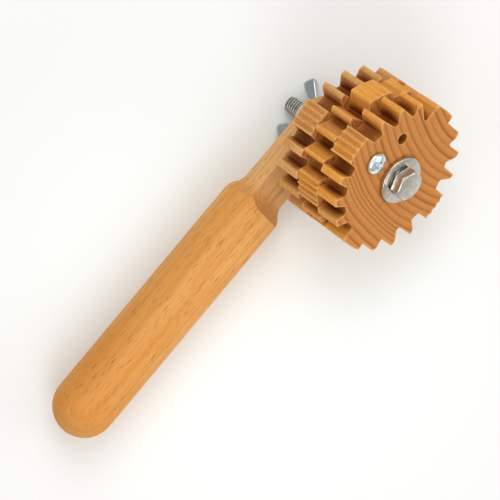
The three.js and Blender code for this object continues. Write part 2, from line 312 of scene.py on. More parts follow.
def round_off(bm: Solid, edges: list, width: float, segments: int) -> None:
    """Rounds the given edges of a solid.

    Args:
        bm: The solid.
        edges: The edges that are rounded.
        width: How far the rounding reaches, in millimetres.
        segments: Steps of the rounding.
    """
    bmesh.ops.bevel(
        bm,
        geom=edges,
        offset=width,
        offset_type="OFFSET",
        segments=segments,
        profile=0.5,
        affect="EDGES",
        clamp_overlap=False,
        material=-1,
    )


def sharp_edges(bm: Solid, angle: float) -> list:
    """Lists the edges whose faces meet at more than an angle in degrees."""
    limit = math.radians(angle)
    return [edge for edge in bm.edges if len(edge.link_faces) == 2 and edge.calc_face_angle() > limit]


def tooth_corner(edge: bmesh.types.BMEdge, room: float) -> bool:
    """Tells whether an edge is an outer corner along the axle between two faces with room for a rounding.

    Args:
        edge: The edge.
        room: The width that both faces need, in millimetres.

    Returns:
        True where the edge can be rounded.
    """
    first, last = edge.verts
    along = abs((last.co - first.co).normalized().z) > 0.9
    width = min(face.calc_area() for face in edge.link_faces) / edge.calc_length()
    return along and edge.is_convex and width > room


def corner_places(part: bmesh.types.BMVert | bmesh.types.BMEdge | bmesh.types.BMFace) -> list:
    """Lists the rounded places of the corners of a part of a solid, in their own order."""
    corners = [part] if isinstance(part, bmesh.types.BMVert) else part.verts
    return sorted(tuple(round(c, 3) for c in corner.co) for corner in corners)


def put_in_order(bm: Solid) -> None:
    """Sorts a solid's parts by place, so that what follows treats them alike on each run."""
    for parts in (bm.verts, bm.edges, bm.faces):
        rank = {part: count for count, part in enumerate(sorted(parts, key=corner_places))}
        parts.sort(key=rank.get)


def placed(name: str, data: bpy.types.ID) -> bpy.types.Object:
    """Makes an object of some data and links it to the scene."""
    made = bpy.data.objects.new(name, data)
    bpy.context.scene.collection.objects.link(made)
    return made


def as_object(bm: Solid, name: str) -> bpy.types.Object:
    """Turns a solid into an object of the scene, and frees the solid.

    Args:
        bm: The solid.
        name: Name of the object and its mesh.

    Returns:
        The object.
    """
    mesh = bpy.data.meshes.new(name)
    bm.to_mesh(mesh)
    bm.free()
    return placed(name, mesh)


def applied(made: bpy.types.Object, *helpers: bpy.types.Object) -> Solid:
    """Applies an object's modifiers, and removes it and its helpers.

    Args:
        made: The object with its modifiers.
        *helpers: Other objects that the modifiers used.

    Returns:
        The finished solid.
    """
    finished = made.evaluated_get(bpy.context.evaluated_depsgraph_get())
    bm = bmesh.new()
    bm.from_mesh(finished.to_mesh())
    finished.to_mesh_clear()
    for leftover in (made, *helpers):
        mesh = leftover.data
        bpy.data.objects.remove(leftover)
        bpy.data.meshes.remove(mesh)
    return bm


def carved(stock: Solid, cutter: Solid, carving: Carving) -> Solid:
    """Joins, cuts or trims a solid with another.

    Args:
        stock: The solid.
        cutter: The other solid.
        carving: What the other solid does.

    Returns:
        The carved solid. Both solids given are freed.
    """
    held = as_object(stock, "stock")
    blade = as_object(cutter, "blade")
    cut = held.modifiers.new("cut", "BOOLEAN")
    cut.operation = carving.value
    cut.solver = "EXACT"
    cut.object = blade
    bm = applied(held, blade)
    bmesh.ops.remove_doubles(bm, verts=bm.verts, dist=MERGE_GAP)
    put_in_order(bm)
    bmesh.ops.dissolve_limit(bm, angle_limit=math.radians(0.4), verts=bm.verts, edges=bm.edges)
    return bm


def cast(bm: Solid, grain: float, passes: int) -> Solid:
    """Gives a solid the soft edges and inner corners of a casting.

    Args:
        bm: The solid with its crisp edges.
        grain: Size of the new faces, in millimetres.
        passes: How many times the surface is smoothed.

    Returns:
        The softened solid.
    """
    blank = as_object(bm, "blank")
    remesh = blank.modifiers.new("remesh", "REMESH")
    remesh.mode = "VOXEL"
    remesh.voxel_size = grain
    bm = applied(blank)
    for _ in range(passes):
        bmesh.ops.smooth_vert(
            bm, verts=bm.verts, factor=0.5, use_axis_x=True, use_axis_y=True, use_axis_z=True
        )
    return bm


# Nodes of the finishes and the sky


class Nodes:
    """The nodes of one tree, with a short call for each kind that is used."""

    def __init__(self, tree: bpy.types.NodeTree) -> None:
        """Takes the tree that the nodes go into."""
        self.tree = tree

    def feed(self, socket: Socket, value: object) -> None:
        """Links a socket to another, or gives it a plain value."""
        if isinstance(value, Socket):
            self.tree.links.new(value, socket)
        elif value is not None:
            socket.default_value = value

    def node(self, kind: str, values: list, **settings: object) -> bpy.types.Node:
        """Adds a node.

        Args:
            kind: The node's type.
            values: Values or sockets for its inputs, in their order. None leaves one as it is.
            **settings: Properties of the node.

        Returns:
            The node.
        """
        made = self.tree.nodes.new(kind)
        for key, value in settings.items():
            setattr(made, key, value)
        for socket, value in zip(made.inputs, values):
            self.feed(socket, value)
        return made

    def math(self, operation: str, first: object, second: object = 0.5, third: object = None) -> Socket:
        """Adds a Math node and gives its result."""
        return self.node("ShaderNodeMath", [first, second, third], operation=operation).outputs[0]

    def vector(self, operation: str, first: object, second: object = None, output: int = 0) -> Socket:
        """Adds a Vector Math node and gives one of its outputs."""
        return self.node("ShaderNodeVectorMath", [first, second], operation=operation).outputs[output]

    def noise(self, vector: object, scale: float, detail: float = 2, rough: float = 0.5) -> Socket:
        """Adds a noise texture and gives its factor."""
        values = [vector, None, scale, detail, rough]
        return self.node("ShaderNodeTexNoise", values).outputs[0]

    def span(self, value: object, low: float, high: float, start: float = 0, end: float = 1) -> Socket:
        """Maps a value smoothly from one span to another."""
        values = [value, low, high, start, end]
        made = self.node("ShaderNodeMapRange", values, interpolation_type="SMOOTHSTEP")
        return made.outputs[0]

    def part(self, vector: object, index: int) -> Socket:
        """Gives one of a vector's three parts."""
        return self.node("ShaderNodeSeparateXYZ", [vector]).outputs[index]

    def length(self, vector: object) -> Socket:
        """Gives a vector's length."""
        return self.vector("LENGTH", vector, None, 1)

    def drawn(self, point: object, share: float) -> Socket:
        """Gives a point with only a share of its height, which draws a pattern out along z."""
        return self.vector("MULTIPLY", point, (1, 1, share))

    def mix(self, factor: object, first: object, second: object) -> Socket:
        """Mixes two colours.

        Args:
            factor: How much of the second colour is taken.
            first: The first colour, or its socket.
            second: The second colour, or its socket.

        Returns:
            The mixed colour's socket.
        """
        made = self.node("ShaderNodeMix", [], data_type="RGBA")
        colours = [(*c, 1) if isinstance(c, tuple) else c for c in (first, second)]
        for socket, value in zip((made.inputs[0], made.inputs[6], made.inputs[7]), (factor, *colours)):
            self.feed(socket, value)
        return made.outputs[2]

    def tint(
        self, colour: object, tone: Colour, value: object, low: float, high: float, share: float = 1
    ) -> Socket:
        """Mixes a tone into a colour as a value rises.

        Args:
            colour: The colour, or its socket.
            tone: The tone that is mixed in.
            value: The socket of the value.
            low: The value up to which the tone is absent.
            high: The value from which the tone has its full share.
            share: That share, from 0 to 1.

        Returns:
            The mixed colour's socket.
        """
        return self.mix(self.span(value, low, high, 0, share), colour, tone)


class Graph(Nodes):
    """The nodes of one material, round its principled shader."""

    def __init__(self, name: str) -> None:
        """Starts a material with its shader."""
        self.material = bpy.data.materials.new(name)
        self.material.use_nodes = True
        super().__init__(self.material.node_tree)
        self.tree.nodes.clear()
        self.shader = self.tree.nodes.new("ShaderNodeBsdfPrincipled")
        output = self.tree.nodes.new("ShaderNodeOutputMaterial")
        self.tree.links.new(self.shader.outputs["BSDF"], output.inputs["Surface"])

    def local(self, centre: Vector, turn: Matrix) -> Socket:
        """Gives millimetres in a frame of the tool, from the piece's own coordinates.

        Args:
            centre: The frame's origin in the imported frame, in metres.
            turn: The frame's rotation.

        Returns:
            The socket of the point's place.
        """
        point = self.node("ShaderNodeTexCoord", []).outputs["Object"]
        values = [point, centre, turn.to_euler(), (MM, MM, MM)]
        return self.node("ShaderNodeMapping", values, vector_type="TEXTURE").outputs[0]

    def facing(self, axis: Vector) -> Socket:
        """Gives how squarely the surface faces along an axis, from 0 to 1."""
        normal = self.node("ShaderNodeTexCoord", []).outputs["Normal"]
        return self.math("ABSOLUTE", self.vector("DOT_PRODUCT", normal, tuple(axis), 1))

    def hollow(self, reach: float, inside: bool = False) -> Socket:
        """Gives how much the piece's own walls close the surface in, from 0 to 1.

        Args:
            reach: How far the walls may stand off, in millimetres.
            inside: True to look into the solid, which finds its outer edges.

        Returns:
            The socket of the closeness.
        """
        values = [None, reach * MM]
        made = self.node("ShaderNodeAmbientOcclusion", values, only_local=True, samples=12, inside=inside)
        return self.math("SUBTRACT", 1, made.outputs["AO"])

    def bump(self, height: object, distance: float, strength: float = 1) -> None:
        """Raises the surface by a height pattern, its distance in millimetres."""
        made = self.node("ShaderNodeBump", [strength, distance * MM])
        self.feed(made.inputs["Height"], height)
        self.feed(self.shader.inputs["Normal"], made.outputs[0])

    def dress(self, **values: object) -> None:
        """Sets the shader's sockets, named in small letters with underscores."""
        for key, value in values.items():
            colour = (*value, 1) if isinstance(value, tuple) else value
            name = key.replace("_", " ").title().replace("Ior", "IOR")
            self.feed(self.shader.inputs[name], colour)


@dataclass(frozen=True)
class SolidWood:
    """How a piece of wood was cut from its tree.

    Args:
        pith: Where the tree's middle lies across the fibres, in millimetres.
        ring: Width of a year's growth, in millimetres.
        lean_years: Distances from the pith between which the growth was slow.
        lean_rings: How many rings more those years hold.
        wander: How far the rings stray from circles, in millimetres.
        drift: How far the rings lean as they go along the fibres.
        sway: How quickly they stray, in swings to a millimetre.
        darkest: The share of a year's growth at which it is darkest.
    """

    pith: tuple[float, float]
    ring: float
    lean_years: tuple[float, float] = (109, 119)
    lean_rings: float = 2.1
    wander: float = 1.0
    drift: float = 0.04
    sway: float = 0.035
    darkest: float = 0.92

    def rings(self, graph: Graph, point: object) -> Socket:
        """Draws the growth rings, darker and darker outwards up to each sharp outer edge.

        Args:
            graph: The material's nodes.
            point: The place in the wood, with the fibres along its z axis.

        Returns:
            The socket of the rings' darkness.
        """
        bent = graph.node("ShaderNodeTexNoise", [graph.drawn(point, 0.12), None, self.sway, 1.5, 0.4])
        bent = graph.vector("SUBTRACT", bent.outputs[1], (0.5, 0.5, 0.5))
        bent = graph.vector("MULTIPLY", bent, (2 * self.wander, 2 * self.wander, 0))
        seen = graph.vector("SUBTRACT", graph.vector("ADD", point, bent), (*self.pith, 0))
        across = graph.length(graph.drawn(seen, 0))
        across = graph.math("MULTIPLY_ADD", graph.part(point, 2), self.drift, across)
        lean = graph.span(across, *self.lean_years, 0, self.lean_rings)
        count = graph.math("MULTIPLY_ADD", across, 1 / self.ring, lean)
        part = graph.math("FRACT", count)
        late = graph.math("POWER", graph.span(part, 0, self.darkest), 2.6)
        late = graph.math("MULTIPLY", late, graph.span(part, self.darkest - 0.06, 1, 1, 0))
        year = graph.node("ShaderNodeTexWhiteNoise", [], noise_dimensions="1D")
        graph.feed(year.inputs["W"], graph.math("FLOOR", count))
        return graph.math("MULTIPLY", late, graph.math("MULTIPLY_ADD", year.outputs[0], 0.6, 0.4))


@dataclass(frozen=True)
class WheelWood:
    """Hardwood of a wheel: rings on its flat faces, streaks along the axle on its teeth.

    The face colours are for the flat sides, and the rim colours are for the teeth. The outer edges are
    lighter, partly wear and partly a painted highlight; half closed places get painted warm shade, and
    the notches, creases and deepest places get painted shade in the root colour.
    Torn fibres show as strongly as fuzz says, from 0 to 1.
    """

    name: str
    cut: SolidWood
    face: Colour = shade("cc894a")
    face_late: Colour = shade("8c4716")
    rim: Colour = shade("f4aa4d")
    rim_streak: Colour = shade("d0823a")
    rim_rosy: Colour = shade("e4a660")
    # Lighter outer edges: partly wear, partly a painted highlight.
    worn: Colour = shade("f6be76")
    # Painted shade, warmed by bounced light, for half closed places.
    painted_warm_shade: Colour = shade("c0701f")
    # Painted shade for the notches, creases and deepest places.
    root: Colour = shade("5e1e00")
    fuzz: float = 0.3
    fuzz_tone: Colour = shade("a8642e")

    def material(self, tool: ToolFrame, height: float) -> bpy.types.Material:
        """Makes the finish.

        Args:
            tool: The tool's frame.
            height: The height of the wheel's middle on the axle, in millimetres.

        Returns:
            The material.
        """
        graph = Graph(self.name)
        point = graph.local(tool.point(0, 0, height), tool.turn)
        radius = graph.length(graph.drawn(point, 0))
        rings = self.cut.rings(graph, point)
        streak = graph.noise(graph.drawn(point, 0.06), 1.3, 4, 0.6)
        patch = graph.noise(graph.drawn(point, 0.5), 0.05, 1)
        pores = graph.noise(graph.drawn(point, 0.07), 2.6, 3, 0.75)
        fuzz = graph.noise(graph.drawn(point, 0.5), 1.3, 4, 0.85)
        speckle = graph.noise(point, 2.0, 3, 0.75)

        rim = graph.tint(self.rim, self.rim_rosy, patch, 0.42, 0.62)
        rim = graph.tint(rim, self.rim_streak, streak, 0.42, 0.75, 0.65)
        rim = graph.mix(graph.math("MULTIPLY", rings, 0.55), rim, self.rim_streak)
        rim = graph.tint(rim, self.fuzz_tone, pores, 0.52, 0.7, 0.32)
        # Painted shade: the teeth darken towards the root colour deeper into the notches, and a little more
        # below their tips.
        rim = graph.mix(graph.span(radius, 26, 34, 0.35, 0), rim, self.root)
        rim = graph.mix(graph.span(radius, 34.1, 35.0, 0.24, 0), rim, self.root)
        rim = graph.tint(rim, self.fuzz_tone, fuzz, 0.48, 0.64, self.fuzz)
        face = graph.mix(graph.math("MULTIPLY", rings, 0.85), self.face, self.face_late)
        face = graph.tint(face, self.face_late, speckle, 0.46, 0.7, 0.38)
        end_grain = graph.span(graph.facing(tool.axis), 0.75, 0.9)
        colour = graph.mix(end_grain, rim, face)

        # Painted highlight, with some wear, on the outer edges.
        colour = graph.tint(colour, self.worn, graph.hollow(1.5, inside=True), 0.18, 0.5, 0.6)
        # Painted shade: warm where the walls half close the surface in, the root colour in the deep places,
        # less inside the bore's radius.
        deep = graph.hollow(7.0)
        colour = graph.tint(colour, self.painted_warm_shade, deep, 0.05, 0.3, 0.4)
        painted_deep_shade = graph.math("MULTIPLY", graph.span(deep, 0.15, 0.52), graph.span(radius, 22, 27, 0.4, 1))
        colour = graph.mix(painted_deep_shade, colour, self.root)
        # Painted shade in narrow creases and corners.
        colour = graph.tint(colour, self.root, graph.hollow(1.5), 0.05, 0.32, 0.6)

        grain = graph.math("MULTIPLY", streak, graph.math("SUBTRACT", 1, end_grain))
        graph.bump(graph.math("MULTIPLY_ADD", speckle, 0.4, grain), 0.22, 0.6)
        graph.dress(
            base_color=colour,
            roughness=graph.span(speckle, 0.3, 0.7, 0.55, 0.72),
            specular_ior_level=0.08,
        )
        return graph.material


@dataclass(frozen=True)
class HandleWood:
    """Oiled beech: long soft figure, short dark flecks along the grip, duller end grain.

    The neck was cut after the oiling, and has the raw colour. The marks are small stains, placed in
    millimetres in the tool's directions from the grip's axis.
    """

    name: str = "oiled_beech"
    cut: SolidWood = SolidWood((-40.4, 43.4), 4.2, (90, 100), 0.0, 1.6, 0.008)
    wood: Colour = shade("e5aa65")
    figure: Colour = shade("d48a3c")
    fleck: Colour = shade("80400e")
    raw: Colour = shade("e2b67e")
    end: Colour = shade("a87f55")
    mark: Colour = shade("dc8634")
    marks: tuple[tuple[float, float, float], ...] = ((-45.5, 8.2, 8.8), (-44.2, 1.5, 12.0), (-77, 7.5, 9.5))

    def material(self, tool: ToolFrame, grip_height: float) -> bpy.types.Material:
        """Makes the finish.

        Args:
            tool: The tool's frame.
            grip_height: The height of the grip's own axis, in millimetres.

        Returns:
            The material.
        """
        graph = Graph(self.name)
        lie = Euler((0, math.radians(90), 0)).to_matrix()
        point = graph.local(tool.point(0, 0, grip_height), tool.turn @ lie)
        along, side = graph.part(point, 2), graph.part(point, 0)
        end_grain = graph.span(graph.facing(tool.turn.col[0]), 0.3, 0.85)
        neck = graph.span(along, -47, -37)
        rings = self.cut.rings(graph, point)
        streak = graph.noise(graph.drawn(point, 0.035), 0.9, 4, 0.6)
        cloud = graph.noise(graph.drawn(point, 0.15), 0.11, 2)
        speckle = graph.noise(point, 1.6, 4, 0.7)
        cells = graph.vector("MULTIPLY", point, (2.0, 2.0, 0.13))
        near = graph.node("ShaderNodeTexVoronoi", [cells, None, 1.0]).outputs[0]
        crowd = graph.span(graph.noise(graph.drawn(point, 0.2), 0.4, 2), 0.38, 0.6, 0.25, 1)
        dash = graph.math("MULTIPLY", graph.span(near, 0.12, 0.32, 1, 0), crowd)

        colour = graph.mix(graph.math("MULTIPLY", rings, 0.8), self.wood, self.figure)
        colour = graph.tint(colour, self.figure, streak, 0.42, 0.72, 0.5)
        colour = graph.tint(colour, self.figure, cloud, 0.45, 0.65, 0.35)
        # Painted shade: a darker band along one side of the grip.
        painted_warm_shade = graph.math("MULTIPLY", graph.span(side, -9, -3, 0, 0.45), graph.span(side, 3.5, 7, 1, 0.2))
        colour = graph.mix(painted_warm_shade, colour, self.figure)
        # Painted shade: darker towards the butt.
        colour = graph.mix(graph.span(along, -165, -85, 0.5, 0), colour, self.figure)
        colour = graph.mix(graph.math("MULTIPLY", neck, 0.65), colour, self.raw)
        fibres = graph.math("MULTIPLY", neck, graph.span(streak, 0.46, 0.66, 0, 0.3))
        colour = graph.mix(fibres, colour, self.fleck)
        colour = graph.mix(graph.math("MULTIPLY", dash, 0.8), colour, self.fleck)
        for mark in self.marks:
            gap = graph.vector("SUBTRACT", point, tuple(Vector(mark) @ lie))
            spot = graph.span(graph.length(graph.drawn(gap, 0.45)), 0.4, 2.6, 0.5, 0)
            colour = graph.mix(spot, colour, self.mark)
        dull = graph.tint(self.end, self.wood, speckle, 0.35, 0.65, 0.7)
        share = graph.math("MULTIPLY", end_grain, graph.math("MULTIPLY_ADD", neck, 0.5, 0.25))

        relief = graph.math("SUBTRACT", graph.math("MULTIPLY", streak, 0.5), dash)
        relief = graph.math("MULTIPLY_ADD", graph.math("MULTIPLY", speckle, end_grain), 0.8, relief)
        graph.bump(relief, 0.06, 0.5)
        graph.dress(
            base_color=graph.mix(share, colour, dull),
            roughness=graph.span(streak, 0.3, 0.7, 0.46, 0.6),
            specular_ior_level=0.08,
        )
        return graph.material


@dataclass(frozen=True)
class Metal:
    """Bare or plated steel with fine scratches and a slightly uneven tone.

    Args:
        name: The material's name.
        tone: The clean metal's colour.
        dull: The colour of its duller patches.
        smooth: Roughness of the clean metal.
        worn: Roughness of the duller patches.
        grit: Depth of the fine texture, in millimetres.
        groove: Radii between which a thread turns from painted shade at its roots to its bright crests, in
            millimetres.
        thread_root_shade: The colour of the shade painted into those roots.
        painted_edge_highlight: The colour of the highlight painted along the outer edges.
    """

    name: str
    tone: Colour
    dull: Colour
    smooth: float
    worn: float
    grit: float = 0.01
    groove: tuple[float, float] = (0, 0)
    thread_root_shade: Colour = shade("3b3730")
    painted_edge_highlight: Colour = shade("f7f6f3")

    def material(self, tool: ToolFrame, height: float) -> bpy.types.Material:
        """Makes the finish.

        Args:
            tool: The tool's frame.
            height: A height on the axle that the pattern is centred on, in millimetres.

        Returns:
            The material.
        """
        graph = Graph(self.name)
        point = graph.local(tool.point(0, 0, height), tool.turn)
        cloud = graph.noise(point, 0.45, 3, 0.6)
        fine = graph.noise(point, 5, 3, 0.75)
        patch = graph.math("MULTIPLY_ADD", graph.math("SUBTRACT", fine, 0.5), 0.5, cloud)
        colour = graph.tint(self.tone, self.dull, patch, 0.35, 0.7)
        # Painted shade at a thread's roots, below the head only.
        if self.groove[1] > 0:
            across = graph.length(graph.drawn(point, 0))
            shank = graph.span(graph.part(point, 2), -1, 0, 1, 0)
            root = graph.math("MULTIPLY", graph.span(across, *self.groove, 0.9, 0), shank)
            colour = graph.mix(root, colour, self.thread_root_shade)
        # Painted highlight along the outer edges.
        colour = graph.tint(colour, self.painted_edge_highlight, graph.hollow(0.6, inside=True), 0.15, 0.5, 0.8)
        graph.bump(fine, self.grit, 0.6)
        graph.dress(
            base_color=colour,
            metallic=1.0,
            roughness=graph.span(patch, 0.3, 0.7, self.smooth, self.worn),
        )
        return graph.material


STAINLESS = Metal("stainless_steel", shade("cfcabf"), shade("bab4a8"), 0.16, 0.26, 0.002)
FORGED = Metal("forged_head", shade("d2cec5"), shade("bcb7ad"), 0.2, 0.32, 0.006, (3.25, 3.7))
BRIGHT_ZINC = Metal("bright_zinc", shade("e8eef1"), shade("d4dde1"), 0.1, 0.2, 0.004)
CAST_ZINC = Metal("cast_zinc", shade("c8cfd0"), shade("b0b8b9"), 0.16, 0.28, 0.008)


# The stack on the bolt


@dataclass(frozen=True)
class Stack:
    """Heights along the axle of everything on the bolt, in millimetres from the front wheel's face."""

    gap: float = 0.3
    bolt_d: float = 7.94
    washer_bore_d: float = 9.34
    front_washer: float = 2.0
    head: float = 5.2
    wheel: float = 12.7
    small_washer: float = 1.6
    nut: float = 6.6
    neck: float = 10.0
    hub: float = 4.6
    tail: float = 9.0

    @property
    def head_foot(self) -> float:
        """Underside of the bolt's head."""
        return 2 * self.gap + self.front_washer

    @property
    def inner_washer_back(self) -> float:
        """Back of the washer behind the wheels."""
        return -3 * self.wheel - 3 * self.gap - self.small_washer

    @property
    def nut_back(self) -> float:
        """Back of the nut between the wheels and the neck."""
        return self.inner_washer_back - self.gap - self.nut

    @property
    def neck_back(self) -> float:
        """Back of the handle's neck."""
        return self.nut_back - self.gap - self.neck

    @property
    def outer_washer_back(self) -> float:
        """Back of the washer under the wing nut."""
        return self.neck_back - self.gap - self.small_washer

    @property
    def wing_base(self) -> float:
        """Base of the wing nut."""
        return self.outer_washer_back - self.gap

    @property
    def bolt_end(self) -> float:
        """Free end of the bolt."""
        return self.wing_base - self.hub - self.tail

    def wheel_middle(self, index: int) -> float:
        """Height of a wheel's middle, counted from the front one."""
        return -self.wheel / 2 - index * (self.wheel + self.gap)


@dataclass
class Bench:
    """What every sub-assembly needs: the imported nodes, the tool's frame and the stack."""

    nodes: dict
    tool: ToolFrame
    stack: Stack = field(default_factory=Stack)

    def copy_of(self, name: str) -> Solid:
        """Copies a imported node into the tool's frame.

        Args:
            name: The node's name.

        Returns:
            The node's solid in millimetres, its triangles merged into flat faces.
        """
        bm = bmesh.new()
        bm.from_mesh(self.nodes[name].data)
        bm.transform(self.tool.place.inverted())
        bmesh.ops.remove_doubles(bm, verts=bm.verts, dist=MERGE_GAP)
        bmesh.ops.dissolve_limit(bm, angle_limit=math.radians(0.5), verts=bm.verts, edges=bm.edges)
        return bm

    def settle(
        self,
        name: str,
        bm: Solid,
        finish: bpy.types.Material,
        node: str,
        body: Body,
        slot: Slot,
        crease: float = 32,
    ) -> bpy.types.Object:
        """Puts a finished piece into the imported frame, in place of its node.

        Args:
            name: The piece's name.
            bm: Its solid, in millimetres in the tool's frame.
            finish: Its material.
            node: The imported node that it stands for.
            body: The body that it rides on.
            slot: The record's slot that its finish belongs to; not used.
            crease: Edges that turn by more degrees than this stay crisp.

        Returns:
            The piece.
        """
        bm.transform(self.tool.place)
        made = as_object(bm, name)
        mesh = made.data
        mesh.polygons.foreach_set("use_smooth", [True] * len(mesh.polygons))
        mesh.set_sharp_from_angle(angle=math.radians(crease))
        mesh.materials.append(finish)
        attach(made, body.value)
        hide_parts(node)
        LOG.info("%s: %d faces on %s", name, len(mesh.polygons), body.value)
        return made


# The sub-assemblies


@dataclass
class Roller:
    """The three toothed wheels, each cut from its own piece of wood."""

    bench: Bench
    crisp: float = 35.0
    edge: float = 0.14
    tip_edge: float = 0.3
    names: tuple[str, ...] = ("front", "middle", "rear")
    woods: tuple[WheelWood, ...] = (
        WheelWood("front_wheel_wood", SolidWood((95, -5), 3.7)),
        WheelWood("middle_wheel_wood", SolidWood((-70, 48), 3.4, (70, 78), 1.6, 1.4, -0.05)),
        WheelWood(
            "rear_wheel_wood",
            SolidWood((40, -86), 3.6, (88, 97), 1.8, 1.4, 0.06),
            rim=shade("e6ae6c"),
            rim_streak=shade("c88a50"),
            fuzz=0.5,
        ),
    )

    def build(self) -> None:
        """Rounds the edges of each wheel, its tooth corners more, and dresses it."""
        for index, (name, wood) in enumerate(zip(self.names, self.woods)):
            node = f"{name}_gear"
            bm = self.bench.copy_of(node)
            tips = [edge for edge in sharp_edges(bm, self.crisp) if tooth_corner(edge, 4 * self.tip_edge)]
            round_off(bm, tips, self.tip_edge, 3)
            round_off(bm, sharp_edges(bm, self.crisp), self.edge, 2)
            finish = wood.material(self.bench.tool, self.bench.stack.wheel_middle(index))
            self.bench.settle(f"wheel_{name}", bm, finish, node, Body.ROLLER, Slot.WHEEL_WOOD, 24)


@dataclass
class Axle:
    """The hex bolt that the wheels roll on, with its washers and the nut between wheels and neck."""

    bench: Bench
    across_flats: float = 12.7
    collar: float = 0.5
    collar_d: float = 11.6
    chamfer_d: float = 11.8
    chamfer_angle: float = 30.0
    head_turn: float = 30.0
    nut_turn: float = 10.0
    pitch: float = 1.411
    root_d: float = 6.45
    threaded_from: float = -36.0
    tip_chamfer: float = 0.8
    front_washer_d: float = 22.2
    small_washer_d: float = 17.5
    head_edge: float = 0.12
    front_washer_edge: float = 0.45
    small_washer_edge: float = 0.3
    punched_edge: float = 0.12
    nut_edge: float = 0.1

    def hex_blank(self, low: float, high: float, turn: float, both_ends: bool) -> Solid:
        """Makes a hexagon with chamfered corners.

        Args:
            low: Height of its lower face.
            high: Height of its upper face.
            turn: Angle of a corner, in degrees.
            both_ends: True to chamfer the lower corners too.

        Returns:
            The chamfered hexagon.
        """
        outer = self.across_flats / 2 / math.cos(math.pi / 6) + 1
        inner = self.chamfer_d / 2
        drop = (outer - inner) * math.tan(math.radians(self.chamfer_angle))
        foot = [(0, low), (inner, low), (outer, low + drop)] if both_ends else [(0, low), (outer, low)]
        cone = lathe([*foot, (outer, high - drop), (inner, high), (0, high)], FINE)
        return carved(prism(6, self.across_flats, low, high, turn), cone, Carving.KEEP)

    def bolt(self) -> Solid:
        """Makes the bolt: head, plain shank and a real thread up to its chamfered end.

        Returns:
            The bolt's solid.
        """
        stack = self.bench.stack
        radius, root, tip = stack.bolt_d / 2, self.root_d / 2, self.tip_chamfer
        end, start, under = stack.bolt_end, self.threaded_from, stack.head_foot
        top = under + stack.head
        head = self.hex_blank(under + self.collar, top, self.head_turn, False)
        round_off(head, sharp_edges(head, 25), self.head_edge, 2)
        head = carved(head, cylinder(self.collar_d / 2, under, top - 1), Carving.JOIN)
        run_out = [(0, start - 1.5), (root, start - 1.5), (radius, start)]
        shank = lathe([*run_out, (radius, under + 1), (0, under + 1)])
        envelope = lathe([(0, end), (radius - tip, end), (radius, end + tip), (radius, 0), (0, 0)])
        rod = thread(stack.bolt_d + 0.02, self.root_d, self.pitch, end - 0.5, start - 0.6)
        rod = carved(rod, envelope, Carving.KEEP)
        return carved(head, carved(shank, rod, Carving.JOIN), Carving.JOIN)

    def washer(self, outer_d: float, low: float, high: float, edge: float) -> Solid:
        """Makes a punched washer, its outer edge rounded at the front.

        Args:
            outer_d: Its outer diameter.
            low: Height of its back.
            high: Height of its front.
            edge: Width of the rounding of its outer edge.

        Returns:
            The washer's solid.
        """
        bore, rim = self.bench.stack.washer_bore_d / 2, outer_d / 2
        bm = lathe([(bore, low), (rim, low), (rim, high), (bore, high)], FINE, closed=True)
        top = [line for line in sharp_edges(bm, 60) if line.verts[0].co.z > (low + high) / 2]
        outer = [line for line in top if line.verts[0].co.xy.length > rim - 1]
        round_off(bm, outer, edge, 3)
        round_off(bm, sharp_edges(bm, 60), self.punched_edge, 2)
        return bm

    def small_washer(self, low: float) -> Solid:
        """Makes one of the two small washers, its back at a height."""
        high = low + self.bench.stack.small_washer
        return self.washer(self.small_washer_d, low, high, self.small_washer_edge)

    def lock_nut(self) -> Solid:
        """Makes the nut between the wheels and the neck.

        Returns:
            The nut's solid.
        """
        stack = self.bench.stack
        low, high = stack.nut_back, stack.nut_back + stack.nut
        blank = self.hex_blank(low, high, self.nut_turn, True)
        bore = stack.bolt_d / 2 + 0.32
        lead = bore + 0.5
        foot = [(0, low - 1), (lead + 1, low - 1), (lead, low), (bore, low + 0.5)]
        drill = lathe([*foot, (bore, high - 0.5), (lead, high), (lead + 1, high + 1), (0, high + 1)])
        nut = carved(blank, drill, Carving.CUT)
        round_off(nut, sharp_edges(nut, 50), self.nut_edge, 1)
        return nut

    def build(self) -> None:
        """Makes and dresses the bolt, its washers and the nut."""
        bench, stack = self.bench, self.bench.stack
        head, steel, zinc = (metal.material(bench.tool, 0) for metal in (FORGED, STAINLESS, BRIGHT_ZINC))
        bench.settle("bolt", self.bolt(), head, "axle_bolt", Body.FRAME, Slot.STEEL, 28)
        top = stack.gap + stack.front_washer
        front = self.washer(self.front_washer_d, stack.gap, top, self.front_washer_edge)
        bench.settle("washer_front", front, steel, "front_washer", Body.FRAME, Slot.STEEL)
        inner = self.small_washer(stack.inner_washer_back)
        bench.settle("washer_inner", inner, zinc, "inner_washer", Body.FRAME, Slot.ZINC)
        bench.settle("nut_lock", self.lock_nut(), zinc, "lock_nut", Body.FRAME, Slot.ZINC, 28)


